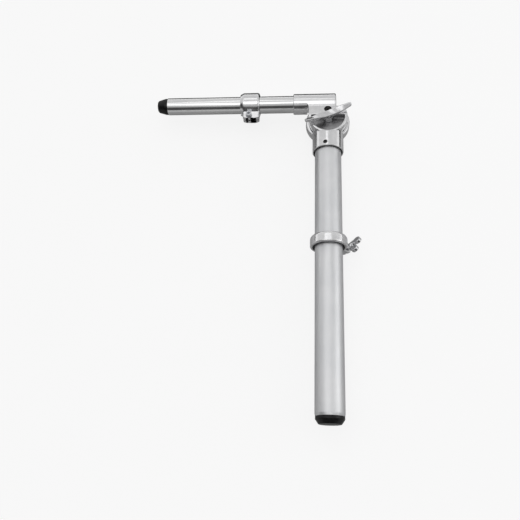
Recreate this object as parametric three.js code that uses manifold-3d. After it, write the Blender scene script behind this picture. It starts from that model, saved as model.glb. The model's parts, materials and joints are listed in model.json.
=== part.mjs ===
// Hinged tube arm: a leg tube and a thinner arm tube joined by a lever-locked half-lap knuckle,
// each tube with a plug in its free end and a split stop collar clamped round it.
// Millimetres, +Z up. The object lies flat: both tube axes are in the plane z = 0, the knuckle
// turns about Z, and the origin is the centre of the leg plug's end face.

import * as THREE from 'three';
import { mergeVertices } from 'three/addons/utils/BufferGeometryUtils.js';
import Module from 'manifold-3d';

const wasm = await Module();
wasm.setup();

// ---------------------------------------------------------------- driving dimensions

const GAP = 0.3; // running gap between neighbouring pieces
const ROUND = 48; // sides of a large round
const SMALL_ROUND = 20; // sides of a small round

const LEG_R = 19.05; // 1 1/2 inch tube
const LEG_WALL = 1.6;
const LEG_PLUG_OUT = 9.6; // how far the leg plug stands out of the tube
const PIVOT_Y = 438.5; // knuckle axis, measured from the leg plug's end face

const ARM_R = 12.7; // 1 inch tube
const ARM_WALL = 1.5;
const ARM_OFFSET = 30.5; // arm axis, measured from the knuckle axis
const ARM_Y = PIVOT_Y + ARM_OFFSET;
const ARM_TUBE_END_X = -244.5;
const ARM_PLUG_OUT = 16;

const SOCKET_R = 22.5;
const SOCKET_MOUTH_Y = PIVOT_Y - 55.5;
const SOCKET_BACK_Y = PIVOT_Y - 22; // where the socket body runs into the leg disc
const LIP_R = 31; // the socket's front is hollowed to this radius, clear of the arm disc
const MOUTH = { wider: 1.8, depth: 5 }; // the socket's mouth is wider than the tube by this much
const SOCKET_FLOOR_Y = PIVOT_Y - 34.5;

const LEG_DISC_R = 32.5;
const LEG_DISC_LOW = -18;
const LEG_DISC_TOP = -1.6;
const ARM_DISC_R = 28.5;
const ARM_DISC_TOP = 14.5;
const RECESS = { r: 24.5, floor: 5.2, backY: 2 }; // half-moon hollow in the arm disc's face
const HUB_POCKET_R = 6.9;
const SHOULDER_Y = 18.8; // the disc is cut straight here, beyond the sleeve's end

const SLEEVE_R = 15.2;
const SLEEVE_MOUTH_X = -51.5;
const SLEEVE_END_X = 12.5;
const SLEEVE_FULL_X = -30.5; // the sleeve is a full round beyond this, and flat backed before it
const WEB_SLOPE = { highY: 3, lowY: 20.6, lowZ: 11.8 }; // the web's face, from the disc down

const BOLT_R = 4; // M8 pivot bolt
const BOLT_TOP = 14.5;
const LEVER_REACH = 36.5;
const LEVER_ANGLE = 23; // degrees
const LEVER_PITCH = THREE.MathUtils.degToRad(30); // how far the blades are tipped, like a propeller
const LEVER_HUB = { r: 6.2, low: RECESS.floor + 1.2 + 2 * GAP, top: 18 };

const LEG_COLLAR = { low: PIVOT_Y - 205, high: PIVOT_Y - 189, r: 25.5, earAngle: -45 };
const ARM_COLLAR = { low: -132, high: -102.5, r: 18 };
const LINER = 1.2; // thickness of the liner inside each collar

// ---------------------------------------------------------------- solids from three.js shapes

// A closed manifold solid from a three.js geometry whose surface is closed.
function solidOf(geometry) {
  const bare = geometry.clone();
  bare.deleteAttribute('normal');
  bare.deleteAttribute('uv');
  const merged = mergeVertices(bare, 1e-4);
  const corners = [];
  for (let i = 0; i < merged.index.count; i += 3) {
    const [a, b, c] = [0, 1, 2].map((k) => merged.index.getX(i + k));
    if (a !== b && b !== c && c !== a) corners.push(a, b, c);
  }
  return new wasm.Manifold(
    new wasm.Mesh({
      numProp: 3,
      vertProperties: new Float32Array(merged.attributes.position.array),
      triVerts: new Uint32Array(corners),
    }),
  );
}

function geometryOf(solid) {
  const mesh = solid.getMesh();
  const geometry = new THREE.BufferGeometry();
  geometry.setAttribute('position', new THREE.BufferAttribute(mesh.vertProperties, 3));
  geometry.setIndex(new THREE.BufferAttribute(mesh.triVerts, 1));
  geometry.computeVertexNormals();
  return geometry;
}

// Turns a geometry whose own axis is +Y so that the axis is X, Y or Z.
function turnTo(geometry, axis) {
  if (axis === 'z') geometry.rotateX(Math.PI / 2);
  if (axis === 'x') geometry.rotateZ(-Math.PI / 2);
  return geometry;
}

// A solid of revolution. The outline is [radius, height] points, anticlockwise, that start and
// end on the axis, or a closed ring when the outline never meets the axis.
function revolved(outline, axis, at = [0, 0, 0], sides = ROUND) {
  const points = outline.map(([r, h]) => new THREE.Vector2(r, h));
  if (outline[0][0] > 0) points.push(points[0].clone());
  const geometry = turnTo(new THREE.LatheGeometry(points, sides), axis);
  return solidOf(geometry.translate(...at));
}

function disc(radius, low, high, axis, at, sides = ROUND) {
  return revolved([[0, low], [radius, low], [radius, high], [0, high]], axis, at, sides);
}

function ring(inner, outer, low, high, axis, at, sides = ROUND) {
  return revolved([[outer, low], [outer, high], [inner, high], [inner, low]], axis, at, sides);
}

function box(low, high) {
  const size = low.map((v, i) => high[i] - v);
  const middle = low.map((v, i) => (high[i] + v) / 2);
  return solidOf(new THREE.BoxGeometry(...size).translate(...middle));
}

// A flat outline in XY, pulled up from low to high along Z.
function plate(shape, low, high) {
  const options = { depth: high - low, bevelEnabled: false, curveSegments: 8 };
  return solidOf(new THREE.ExtrudeGeometry(shape, options).translate(0, 0, low));
}

function polygon(points) {
  return new THREE.Shape(points.map(([x, y]) => new THREE.Vector2(x, y)));
}

function hexagon(acrossFlats) {
  const r = acrossFlats / Math.sqrt(3);
  const angles = [0, 1, 2, 3, 4, 5].map((k) => (k * Math.PI) / 3);
  return polygon(angles.map((a) => [r * Math.cos(a), r * Math.sin(a)]));
}

// A rotated and shifted copy of a solid; turns are degrees about X, Y and Z in that order.
function placed(solid, turns, at) {
  return solid.rotate(turns).translate(at);
}

// Outline of a round edge: points of a quarter circle from one angle to the other, in degrees.
function arc(cx, cy, r, from, to, steps = 5) {
  const points = [];
  for (let k = 0; k <= steps; k += 1) {
    const a = THREE.MathUtils.degToRad(from + ((to - from) * k) / steps);
    points.push([cx + r * Math.cos(a), cy + r * Math.sin(a)]);
  }
  return points;
}

// ---------------------------------------------------------------- materials and the group

const FINISHES = {
  satinAluminium: { color: 0xc9cbcf, roughness: 0.35, metalness: 1 },
  polishedAluminium: { color: 0xd8dade, roughness: 0.12, metalness: 1 },
  zincSteel: { color: 0xb9bcc2, roughness: 0.3, metalness: 1 },
  springSteel: { color: 0x8c9097, roughness: 0.35, metalness: 1 },
  blackRubber: { color: 0x141415, roughness: 0.55, metalness: 0 },
  blackNylon: { color: 0x1b1b1c, roughness: 0.5, metalness: 0 },
  frictionFibre: { color: 0x5a4a3a, roughness: 0.9, metalness: 0 },
};

const object = new THREE.Group();

function addNode(name, solid, finish) {
  const mesh = new THREE.Mesh(geometryOf(solid), new THREE.MeshStandardMaterial(FINISHES[finish]));
  mesh.name = name;
  object.add(mesh);
}

// ---------------------------------------------------------------- tubes and end plugs

// A tube plug along +Y from its end face at 0: a tapered nose, a flange and a hollow spigot.
function tubePlug({ tubeR, wall, out, noseR, noseLength, rimRound }) {
  const flangeR = tubeR - 0.6;
  const spigotR = tubeR - wall - GAP;
  const spigotEnd = out + 0.9 * tubeR;
  const outline = [
    [0, 0],
    [noseR - rimRound, 0],
    ...arc(noseR - rimRound, rimRound, rimRound, -90, -10),
    [flangeR, noseLength],
    [flangeR, out - GAP],
    [spigotR, out - GAP],
    [spigotR, spigotEnd - 1.5],
    [spigotR - 1.5, spigotEnd],
    [spigotR - 4, spigotEnd],
    [spigotR - 4, out + 1],
    [0, out + 1],
  ];
  return outline;
}

function buildTubes() {
  const legEnd = SOCKET_FLOOR_Y - GAP;
  addNode('leg_tube', ring(LEG_R - LEG_WALL, LEG_R, LEG_PLUG_OUT, legEnd, 'y'), 'satinAluminium');
  const legPlug = tubePlug({
    tubeR: LEG_R, wall: LEG_WALL, out: LEG_PLUG_OUT, noseR: 14.5, noseLength: 6, rimRound: 1.8,
  });
  addNode('leg_foot_plug', revolved(legPlug, 'y'), 'blackRubber');

  const armLength = SLEEVE_FULL_X - 1 - GAP - ARM_TUBE_END_X;
  const armAt = [ARM_TUBE_END_X, ARM_Y, 0];
  const armTube = ring(ARM_R - ARM_WALL, ARM_R, 0, armLength, 'x', armAt);
  addNode('arm_tube', armTube, 'polishedAluminium');
  const armPlug = tubePlug({
    tubeR: ARM_R, wall: ARM_WALL, out: ARM_PLUG_OUT, noseR: 8.6, noseLength: 12, rimRound: 2.6,
  });
  const plugAt = [ARM_TUBE_END_X - ARM_PLUG_OUT, ARM_Y, 0];
  addNode('arm_end_plug', revolved(armPlug, 'x', plugAt), 'blackRubber');
}

// ---------------------------------------------------------------- knuckle

const PIVOT = [0, PIVOT_Y, 0];
const SPRING_POCKET = { r: 9.5, floor: LEG_DISC_TOP - 7 };
const KEY_SCREW = { y: PIVOT_Y + 12.6, headR: 4.1, boreR: 5.5, depth: 7.5 };
const GRUB = { r: 2.6, x: -4.5, y: PIVOT_Y - 49.5 };
const SLEEVE_PIN_X = -43;

// The leg half: a disc under the lap face, and a socket that holds the leg tube.
function legCasting() {
  const edge = 5;
  const rim = [
    [0, LEG_DISC_LOW],
    ...arc(LEG_DISC_R - edge, LEG_DISC_LOW + edge, edge, -90, 0, 6),
    ...arc(LEG_DISC_R - 3, LEG_DISC_TOP - 3, 3, 0, 90, 4),
    [0, LEG_DISC_TOP],
  ];
  const mouthRound = 0.7;
  const body = [
    [0, SOCKET_MOUTH_Y],
    ...arc(SOCKET_R - mouthRound, SOCKET_MOUTH_Y + mouthRound, mouthRound, -90, 0, 4),
    [SOCKET_R, SOCKET_BACK_Y],
    [0, SOCKET_BACK_Y],
  ];
  const lap = disc(LIP_R, LEG_DISC_TOP, SOCKET_R + 1, 'z', PIVOT);
  const hollow = disc(LEG_R + 0.15, SOCKET_MOUTH_Y - 1, SOCKET_FLOOR_Y, 'y');
  const mouth = disc(LEG_R + MOUTH.wider, SOCKET_MOUTH_Y - 1, SOCKET_MOUTH_Y + MOUTH.depth, 'y');
  const boltHole = disc(BOLT_R + GAP, LEG_DISC_LOW - 1, LEG_DISC_TOP + 1, 'z', PIVOT, SMALL_ROUND);
  const headPocket = plate(hexagon(13 + 2 * GAP), LEG_DISC_LOW - 1, LEG_DISC_LOW + 3)
    .translate(PIVOT);
  const grubHole = disc(GRUB.r + 0.2, 10, SOCKET_R + 1, 'z', [GRUB.x, GRUB.y, 0], SMALL_ROUND);
  return revolved(rim, 'z', PIVOT)
    .add(revolved(body, 'y'))
    .subtract(lap)
    .subtract(hollow)
    .subtract(mouth)
    .subtract(boltHole)
    .subtract(disc(SPRING_POCKET.r, SPRING_POCKET.floor, 0, 'z', PIVOT, SMALL_ROUND))
    .subtract(headPocket)
    .subtract(grubHole);
}

// The arm half: a disc over the lap face, a web, and a sleeve that holds the arm tube.
function armCasting() {
  const edge = 2;
  const face = [
    [0, 0],
    [ARM_DISC_R, 0],
    ...arc(ARM_DISC_R - edge, ARM_DISC_TOP - edge, edge, 0, 90, 4),
    [0, ARM_DISC_TOP],
  ];
  const web = plate(
    polygon([
      [-ARM_DISC_R, 0],
      [SLEEVE_END_X, 0],
      [SLEEVE_END_X, ARM_OFFSET],
      [-ARM_DISC_R, ARM_OFFSET],
    ]),
    0,
    ARM_DISC_TOP,
  ).translate(PIVOT);
  const fall = (ARM_DISC_TOP - WEB_SLOPE.lowZ) / (WEB_SLOPE.lowY - WEB_SLOPE.highY);
  const farY = ARM_OFFSET + 1;
  const aboveWeb = plate(
    polygon([
      [WEB_SLOPE.highY, ARM_DISC_TOP],
      [farY, ARM_DISC_TOP - fall * (farY - WEB_SLOPE.highY)],
      [farY, ARM_DISC_TOP + 1],
      [WEB_SLOPE.highY, ARM_DISC_TOP + 1],
    ]),
    -ARM_DISC_R - 1,
    ARM_DISC_R + 1,
  );
  const recess = disc(RECESS.r, RECESS.floor, ARM_DISC_TOP + 1, 'z', PIVOT)
    .intersect(box([-RECESS.r, 0, 0], [RECESS.r, PIVOT_Y + RECESS.backY, ARM_DISC_TOP + 1]))
    .add(disc(HUB_POCKET_R, RECESS.floor, ARM_DISC_TOP + 1, 'z', PIVOT, SMALL_ROUND));
  const corner = box(
    [SLEEVE_END_X, PIVOT_Y + SHOULDER_Y, -1],
    [ARM_DISC_R + 1, PIVOT_Y + ARM_DISC_R + 1, ARM_DISC_TOP + 1],
  );
  const length = SLEEVE_END_X - SLEEVE_MOUTH_X;
  const sleeve = revolved(
    [
      [0, 0],
      [SLEEVE_R - 1.5, 0],
      [SLEEVE_R, 1.5],
      ...arc(SLEEVE_R - 2.5, length - 2.5, 2.5, 0, 90, 4),
      [0, length],
    ],
    'x',
    [SLEEVE_MOUTH_X, ARM_Y, 0],
  );
  const underFlat = box(
    [SLEEVE_FULL_X, ARM_Y - SLEEVE_R - 1, -SLEEVE_R - 1],
    [SLEEVE_END_X + 1, ARM_Y + SLEEVE_R + 1, 0],
  );
  const tubeDepth = SLEEVE_FULL_X - 1 - SLEEVE_MOUTH_X;
  const tubeBore = disc(ARM_R + 0.15, -1, tubeDepth, 'x', [SLEEVE_MOUTH_X, ARM_Y, 0]);
  const keyAt = [0, KEY_SCREW.y, 0];
  const counterbore = disc(
    KEY_SCREW.boreR, ARM_DISC_TOP - KEY_SCREW.depth, ARM_DISC_TOP + 1, 'z', keyAt, SMALL_ROUND,
  );
  return revolved(face, 'z', PIVOT)
    .add(web)
    .subtract(aboveWeb.rotate([90, 0, 90]).translate(PIVOT))
    .add(sleeve.subtract(underFlat))
    .subtract(corner)
    .subtract(recess)
    .subtract(tubeBore)
    .subtract(disc(BOLT_R + GAP, -1, ARM_DISC_TOP + 1, 'z', PIVOT, SMALL_ROUND))
    .subtract(counterbore)
    .subtract(disc(2.3, -1, ARM_DISC_TOP, 'z', keyAt, SMALL_ROUND))
    .subtract(disc(2.3, -SLEEVE_R - 1, 0, 'z', [SLEEVE_PIN_X, ARM_Y, 0], SMALL_ROUND));
}

// A compression spring round the pivot bolt: a round wire wound along Z.
function releaseSpring() {
  const wire = 0.8;
  const coilR = 7;
  const turns = 3;
  const low = SPRING_POCKET.floor + wire + GAP;
  const rise = -SPRING_POCKET.floor - 2 * (wire + GAP);
  class Coil extends THREE.Curve {
    getPoint(t, target = new THREE.Vector3()) {
      const a = 2 * Math.PI * turns * t;
      return target.set(coilR * Math.cos(a), coilR * Math.sin(a), low + rise * t);
    }
  }
  const section = new THREE.Shape().absarc(0, 0, wire, 0, 2 * Math.PI);
  const options = { steps: 60, extrudePath: new Coil(), curveSegments: 4, bevelEnabled: false };
  return solidOf(new THREE.ExtrudeGeometry(section, options).translate(...PIVOT));
}

// A socket-head screw along Z, with its head's top at z = top.
function socketScrew({ headR, headHeight, shankR, length, key }) {
  const outline = [
    [0, -headHeight - length],
    [shankR - 0.4, -headHeight - length],
    [shankR, -headHeight - length + 0.4],
    [shankR, -headHeight],
    [headR, -headHeight],
    [headR, -0.4],
    [headR - 0.4, 0],
    [0, 0],
  ];
  const screw = revolved(outline, 'z', [0, 0, 0], SMALL_ROUND);
  return screw.subtract(plate(hexagon(key), -0.6 * headHeight, 1));
}

function pivotBolt() {
  const head = plate(hexagon(13), LEG_DISC_LOW - 2.5, LEG_DISC_LOW + 3 - GAP);
  const shank = revolved(
    [
      [0, LEG_DISC_LOW],
      [BOLT_R, LEG_DISC_LOW],
      [BOLT_R, BOLT_TOP - 0.8],
      [BOLT_R - 0.8, BOLT_TOP],
      [0, BOLT_TOP],
    ],
    'z',
    [0, 0, 0],
    SMALL_ROUND,
  );
  return head.add(shank).translate(PIVOT);
}

// A solid skinned over rings of points that all have the same count, with both ends closed.
function loft(rings) {
  const count = rings[0].length;
  const points = rings.flat();
  const faces = [];
  rings.slice(1).forEach((_, i) => {
    for (let k = 0; k < count; k += 1) {
      const [a, b] = [i * count + k, i * count + ((k + 1) % count)];
      faces.push(a, b, b + count, a, b + count, a + count);
    }
  });
  const last = (rings.length - 1) * count;
  for (let k = 1; k < count - 1; k += 1) {
    faces.push(0, k + 1, k);
    faces.push(last, last + k, last + k + 1);
  }
  const geometry = new THREE.BufferGeometry().setFromPoints(points);
  geometry.setIndex(faces);
  return solidOf(geometry);
}

// One cross-section of the lever: a rounded bar tipped one way on one side and the other way on
// the other, wide by the hub and slim at the tips.
function leverRing(x) {
  const t = Math.abs(x) / LEVER_REACH;
  const end = Math.sqrt(Math.max(0.04, 1 - Math.max(0, (t - 0.9) / 0.1) ** 2));
  const middleZ = 17.6 + 5.4 * t ** 1.4;
  const halfWide = (4.9 - 2.4 * t * t) * end;
  const halfThick = (2.9 - 0.9 * t) * end;
  const tipped = LEVER_PITCH * Math.sign(x) * THREE.MathUtils.smoothstep(t, 0.1, 0.5);
  const ring = [];
  for (let k = 0; k < 16; k += 1) {
    const a = (2 * Math.PI * k) / 16;
    const u = halfWide * Math.sign(Math.cos(a)) * Math.abs(Math.cos(a)) ** 0.6;
    const v = halfThick * Math.sign(Math.sin(a)) * Math.abs(Math.sin(a)) ** 0.6;
    const y = u * Math.cos(tipped) - v * Math.sin(tipped);
    const z = middleZ + u * Math.sin(tipped) + v * Math.cos(tipped);
    ring.push(new THREE.Vector3(x, y, z));
  }
  return ring;
}

function wingLever() {
  const stations = [-1, -0.985, -0.96, -0.92, -0.85, -0.72, -0.58, -0.44, -0.3, -0.15];
  const along = [...stations, 0, ...stations.toReversed().map((t) => -t)];
  const blade = loft(along.map((t) => leverRing(t * LEVER_REACH)));
  const hub = revolved(
    [
      [0, LEVER_HUB.low],
      [LEVER_HUB.r - 0.6, LEVER_HUB.low],
      [LEVER_HUB.r, LEVER_HUB.low + 0.6],
      ...arc(LEVER_HUB.r - 2.5, LEVER_HUB.top - 2.5, 2.5, 0, 90, 4),
      [0, LEVER_HUB.top],
    ],
    'z',
    [0, 0, 0],
    SMALL_ROUND,
  );
  const thread = disc(BOLT_R + 0.15, 0, BOLT_TOP + 0.5, 'z', [0, 0, 0], SMALL_ROUND);
  return placed(blade.add(hub).subtract(thread), [0, 0, LEVER_ANGLE], PIVOT);
}

function buildKnuckle() {
  addNode('knuckle_leg_half', legCasting(), 'polishedAluminium');
  addNode('knuckle_arm_half', armCasting(), 'polishedAluminium');
  const lapDisc = ring(11, 26, LEG_DISC_TOP + GAP, -GAP, 'z', PIVOT);
  addNode('friction_disc', lapDisc, 'frictionFibre');
  addNode('release_spring', releaseSpring(), 'springSteel');
  addNode('pivot_bolt', pivotBolt(), 'zincSteel');
  const washerLow = RECESS.floor + GAP;
  const washer = ring(BOLT_R + GAP, LEVER_HUB.r, washerLow, washerLow + 1.2, 'z', PIVOT, SMALL_ROUND);
  addNode('lever_washer', washer, 'zincSteel');
  addNode('wing_lever', wingLever(), 'polishedAluminium');
  const keyTop = ARM_DISC_TOP - KEY_SCREW.depth + 4 + GAP;
  const keyScrew = socketScrew({
    headR: KEY_SCREW.headR, headHeight: 4, shankR: 2, length: keyTop - 4 - 0.2, key: 4,
  });
  addNode('disc_key_screw', keyScrew.translate([0, KEY_SCREW.y, keyTop]), 'zincSteel');
  const grub = socketScrew({ headR: GRUB.r, headHeight: 1.4, shankR: GRUB.r, length: 0.6, key: 2.5 });
  addNode('socket_grub_screw', grub.translate([GRUB.x, GRUB.y, LEG_R + 2.3]), 'zincSteel');
  const pin = disc(2, -SLEEVE_R + 0.4, -ARM_R - GAP, 'z', [SLEEVE_PIN_X, ARM_Y, 0], SMALL_ROUND);
  addNode('sleeve_pin', pin, 'zincSteel');
}

// ---------------------------------------------------------------- stop collars

// A split collar along +Y with its two ears towards +X and the clamp screw along +Z.
function splitCollar(size) {
  const { boreR, outerR, length, taper, shoulder, earReach, earHalf, slot, screwR } = size;
  const lugMiddle = (size.lug.low + size.lug.high) / 2;
  const lugR = (size.lug.high - size.lug.low) / 2;
  const body = ring(boreR, outerR, 0, length, 'y').intersect(
    revolved(
      [
        [0, 0],
        [outerR - taper.drop, 0],
        [outerR, taper.length],
        [outerR, length - shoulder],
        ...arc(outerR - shoulder, length - shoulder, shoulder, 0, 70, 5),
        [0, length],
      ],
      'y',
    ),
  );
  const lug = new THREE.Shape();
  lug.moveTo(boreR + 1, -lugR);
  lug.lineTo(earReach - lugR * 0.6, -lugR);
  lug.bezierCurveTo(earReach, -lugR, earReach, lugR, earReach - lugR * 0.6, lugR);
  lug.lineTo(boreR + 1, lugR);
  lug.closePath();
  const ears = plate(lug, -earHalf, earHalf).translate([0, lugMiddle, 0]);
  const screwX = (outerR + earReach) / 2;
  const screwHole = disc(
    screwR + GAP, -earHalf - 1, earHalf + 1, 'z', [screwX, size.screwAt, 0], SMALL_ROUND,
  );
  const mouth = disc(boreR + size.flare, -1, 2, 'y');
  const nutPocket = plate(hexagon(8 + 2 * GAP), -earHalf - 1, -earHalf + size.nutDepth)
    .translate([screwX, size.screwAt, 0]);
  return body
    .add(ears)
    .subtract(disc(boreR, -1, length + 1, 'y'))
    .subtract(mouth)
    .subtract(nutPocket)
    .subtract(box([0, -1, -slot / 2], [earReach + 1, length + 1, slot / 2]))
    .subtract(screwHole);
}

// The sprung liner inside a collar, split where the collar is split.
function collarLiner({ boreR, length, slot }) {
  return ring(boreR - GAP - LINER, boreR - GAP, 3, length - 1.2, 'y')
    .subtract(box([0, 0, -slot / 2], [boreR, length, slot / 2]));
}

function hexNut(acrossFlats, low, high, holeR) {
  return plate(hexagon(acrossFlats), low, high)
    .subtract(disc(holeR, low - 1, high + 1, 'z', [0, 0, 0], SMALL_ROUND));
}

// A wing bolt along Z: the thread hangs down to low, the wings spread in YZ above the seat.
function wingBolt({ shankR, low, seat, hubR, span, rise }) {
  const stem = revolved(
    [
      [0, low],
      [shankR - 0.4, low],
      [shankR, low + 0.4],
      [shankR, seat],
      [hubR, seat],
      [hubR, seat + 5.5],
      [hubR - 1.2, seat + 7],
      [0, seat + 7],
    ],
    'z',
    [0, 0, 0],
    SMALL_ROUND,
  );
  const wing = new THREE.Shape();
  const top = seat + rise;
  wing.moveTo(0, seat + 1.5);
  wing.lineTo(hubR, seat + 1.5);
  wing.bezierCurveTo(hubR + 2, seat + 4, span - 0.5, top - 9, span, top - 4.5);
  wing.bezierCurveTo(span + 0.2, top - 1, span - 3, top + 0.3, span - 5, top - 0.3);
  wing.bezierCurveTo(span - 8.5, top - 1.5, span - 8.5, top - 7, hubR - 1.5, seat + 5.5);
  wing.lineTo(0, seat + 5.5);
  wing.closePath();
  const right = plate(wing, -1.6, 1.6).rotate([90, 0, 0]).rotate([0, 0, 90]);
  return stem.add(right).add(right.rotate([0, 0, 180]));
}

function buildLegCollar() {
  const boreR = LEG_R + 2 * GAP + LINER;
  const size = {
    boreR,
    outerR: LEG_COLLAR.r,
    length: LEG_COLLAR.high - LEG_COLLAR.low,
    taper: { drop: 0.8, length: 0.8 },
    shoulder: 5,
    earReach: 38,
    earHalf: 6.5,
    slot: 2,
    screwR: 2.5,
    flare: 1.2,
    lug: { low: 1.2, high: 14.8 },
    screwAt: 8,
    nutDepth: 0,
  };
  const screwX = (size.outerR + size.earReach) / 2;
  const fit = (solid) => placed(solid, [0, -LEG_COLLAR.earAngle, 0], [0, LEG_COLLAR.low, 0]);
  const onScrew = (solid) => fit(solid.translate([screwX, size.screwAt, 0]));
  const seat = size.earHalf + 1.2 + 2 * GAP;
  addNode('leg_collar', fit(splitCollar(size)), 'polishedAluminium');
  addNode('leg_collar_liner', fit(collarLiner(size)), 'blackNylon');
  const washer = ring(2.8, 5, size.earHalf + GAP, seat - GAP, 'z', [0, 0, 0], SMALL_ROUND);
  addNode('leg_collar_washer', onScrew(washer), 'zincSteel');
  const bolt = wingBolt({ shankR: 2.5, low: -12.2, seat, hubR: 4.4, span: 12.5, rise: 18 });
  addNode('leg_collar_wing_bolt', onScrew(bolt.rotate([0, 0, -30])), 'polishedAluminium');
  const nutLow = -size.earHalf - 4.5 - GAP;
  addNode('leg_collar_nut', onScrew(hexNut(8, nutLow, nutLow + 4.5, 2.65)), 'zincSteel');
}

function buildArmCollar() {
  const boreR = ARM_R + 2 * GAP + LINER;
  const size = {
    boreR,
    outerR: ARM_COLLAR.r,
    length: ARM_COLLAR.high - ARM_COLLAR.low,
    taper: { drop: 2.6, length: 5 },
    shoulder: 3,
    earReach: 28,
    earHalf: 7,
    slot: 2,
    screwR: 2.5,
    flare: 0.6,
    lug: { low: 4.5, high: 29 },
    screwAt: 13.75,
    nutDepth: 3.6,
  };
  const screwX = (size.outerR + size.earReach) / 2;
  const fit = (solid) => placed(solid, [0, 0, -90], [ARM_COLLAR.low, ARM_Y, 0]);
  const onScrew = (solid) => fit(solid.translate([screwX, size.screwAt, 0]));
  const seat = size.earHalf + 1 + 2 * GAP;
  addNode('arm_collar', fit(splitCollar(size)), 'polishedAluminium');
  addNode('arm_collar_liner', fit(collarLiner(size)), 'blackNylon');
  const washer = ring(2.8, 4.8, size.earHalf + GAP, seat - GAP, 'z', [0, 0, 0], SMALL_ROUND);
  addNode('arm_collar_washer', onScrew(washer), 'zincSteel');
  const screw = socketScrew({ headR: 4.2, headHeight: 4.5, shankR: 2.5, length: 15.2, key: 4 });
  addNode('arm_collar_screw', onScrew(screw.translate([0, 0, seat + 4.5])), 'zincSteel');
  const nutLow = -size.earHalf + 0.2;
  addNode('arm_collar_nut', onScrew(hexNut(8, nutLow, nutLow + 3.1, 2.65)), 'zincSteel');
}

buildTubes();
buildKnuckle();
buildLegCollar();
buildArmCollar();

export default object;
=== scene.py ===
# Looks of the hinged tube arm: a leg tube and a thinner arm tube joined by a lever-locked knuckle.
# Pieces are modelled in millimetres in the CAD frame and written to Blender in metres. Castings are
# rounded solids given by distance fields and skinned by a surface net; turned pieces are lathed.

import json
import math

import bmesh
import bpy
import numpy as np
from mathutils import Matrix, Vector


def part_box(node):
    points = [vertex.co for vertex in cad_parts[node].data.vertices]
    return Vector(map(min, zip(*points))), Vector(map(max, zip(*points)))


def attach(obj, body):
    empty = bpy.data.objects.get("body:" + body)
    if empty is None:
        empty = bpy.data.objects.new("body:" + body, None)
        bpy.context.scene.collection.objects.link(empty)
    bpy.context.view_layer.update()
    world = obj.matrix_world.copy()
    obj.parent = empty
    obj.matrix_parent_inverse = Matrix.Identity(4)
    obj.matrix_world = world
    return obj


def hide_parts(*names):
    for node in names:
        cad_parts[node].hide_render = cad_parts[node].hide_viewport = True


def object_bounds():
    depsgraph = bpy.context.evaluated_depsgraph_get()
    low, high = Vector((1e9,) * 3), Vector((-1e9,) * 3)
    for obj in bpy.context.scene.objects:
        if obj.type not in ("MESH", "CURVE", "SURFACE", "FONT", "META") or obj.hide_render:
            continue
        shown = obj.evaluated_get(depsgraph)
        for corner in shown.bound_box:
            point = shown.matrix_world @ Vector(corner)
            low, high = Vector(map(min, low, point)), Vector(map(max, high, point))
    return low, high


MM = 0.001
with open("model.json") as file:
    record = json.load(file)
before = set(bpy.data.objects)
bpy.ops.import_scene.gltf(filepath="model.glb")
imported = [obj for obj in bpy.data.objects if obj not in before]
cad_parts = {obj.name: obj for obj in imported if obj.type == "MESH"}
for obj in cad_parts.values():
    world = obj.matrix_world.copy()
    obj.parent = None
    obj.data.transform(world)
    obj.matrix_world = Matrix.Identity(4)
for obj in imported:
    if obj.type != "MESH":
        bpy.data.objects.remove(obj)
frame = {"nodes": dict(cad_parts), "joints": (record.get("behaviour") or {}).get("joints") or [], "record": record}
START_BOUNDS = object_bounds()

# ---------------------------------------------------------------- measures read from the frame


def corners(node):
    """Lowest and highest corner of a CAD node, in mm."""
    low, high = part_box(node)
    return np.array(low) / MM, np.array(high) / MM


def joint_point(name):
    joint = next(j for j in frame["joints"] if j["name"] == name)
    return np.array(joint["pos_m"]) / MM


PIVOT = joint_point("arm_fold")
LEG_SCREW = joint_point("leg_stop_screw_turn")
ARM_SCREW = joint_point("arm_stop_screw_turn")
LEG_TUBE = corners("leg_tube")
ARM_TUBE = corners("arm_tube")
LEG_R = LEG_TUBE[1][0]
ARM_R = ARM_TUBE[1][2]
ARM_Y = (ARM_TUBE[0][1] + ARM_TUBE[1][1]) / 2
LEG_COLLAR_Y = corners("leg_collar")[0][1]
ARM_COLLAR_X = corners("arm_collar")[0][0]

# ---------------------------------------------------------------- driving dimensions, mm

GAP = 0.3
BORE_PLAY = 0.15
LEG_WALL = 1.6
ARM_WALL = 1.5
LINER = 1.2

LEG_DISC = dict(r=32.5, low=-18.0, top=-1.6, back_edge=5.0, lap_edge=2.6)
SOCKET = dict(r=22.5, mouth=-55.5, back=-22.0, floor=-34.5, lip_r=31.0, edge=0.8)
MOUTH = dict(wider=1.8, depth=5.0)
GRUB = dict(x=-4.5, y=-49.5, r=2.6)

ARM_DISC = dict(r=28.5, top=14.5, edge=1.6, shoulder=18.8)
RECESS = dict(r=24.5, floor=5.2, back=2.0, hub_r=6.9)
SLEEVE = dict(r=15.2, mouth=-51.5, end=12.5, full=-30.5, offset=30.5)
WEB = dict(high_y=3.0, low_y=20.6, low_z=11.8)
KEY = dict(y=12.6, bore=5.5, depth=7.5, head_r=4.1, head=4.0)
SLEEVE_PIN_X = -43.0
POCKET = dict(r=9.5, floor=-8.6)
BOLT = dict(r=4.0, top=14.5, head_flats=13, head_sunk=3.0, head_proud=2.5)

LEVER = dict(reach=36.5, angle=math.radians(23), pitch=math.radians(30), root_z=17.2, rise=4.6,
             edge=1.3)
LEVER_HUB = dict(r=6.2, low=7.0, high=18.0)

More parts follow.
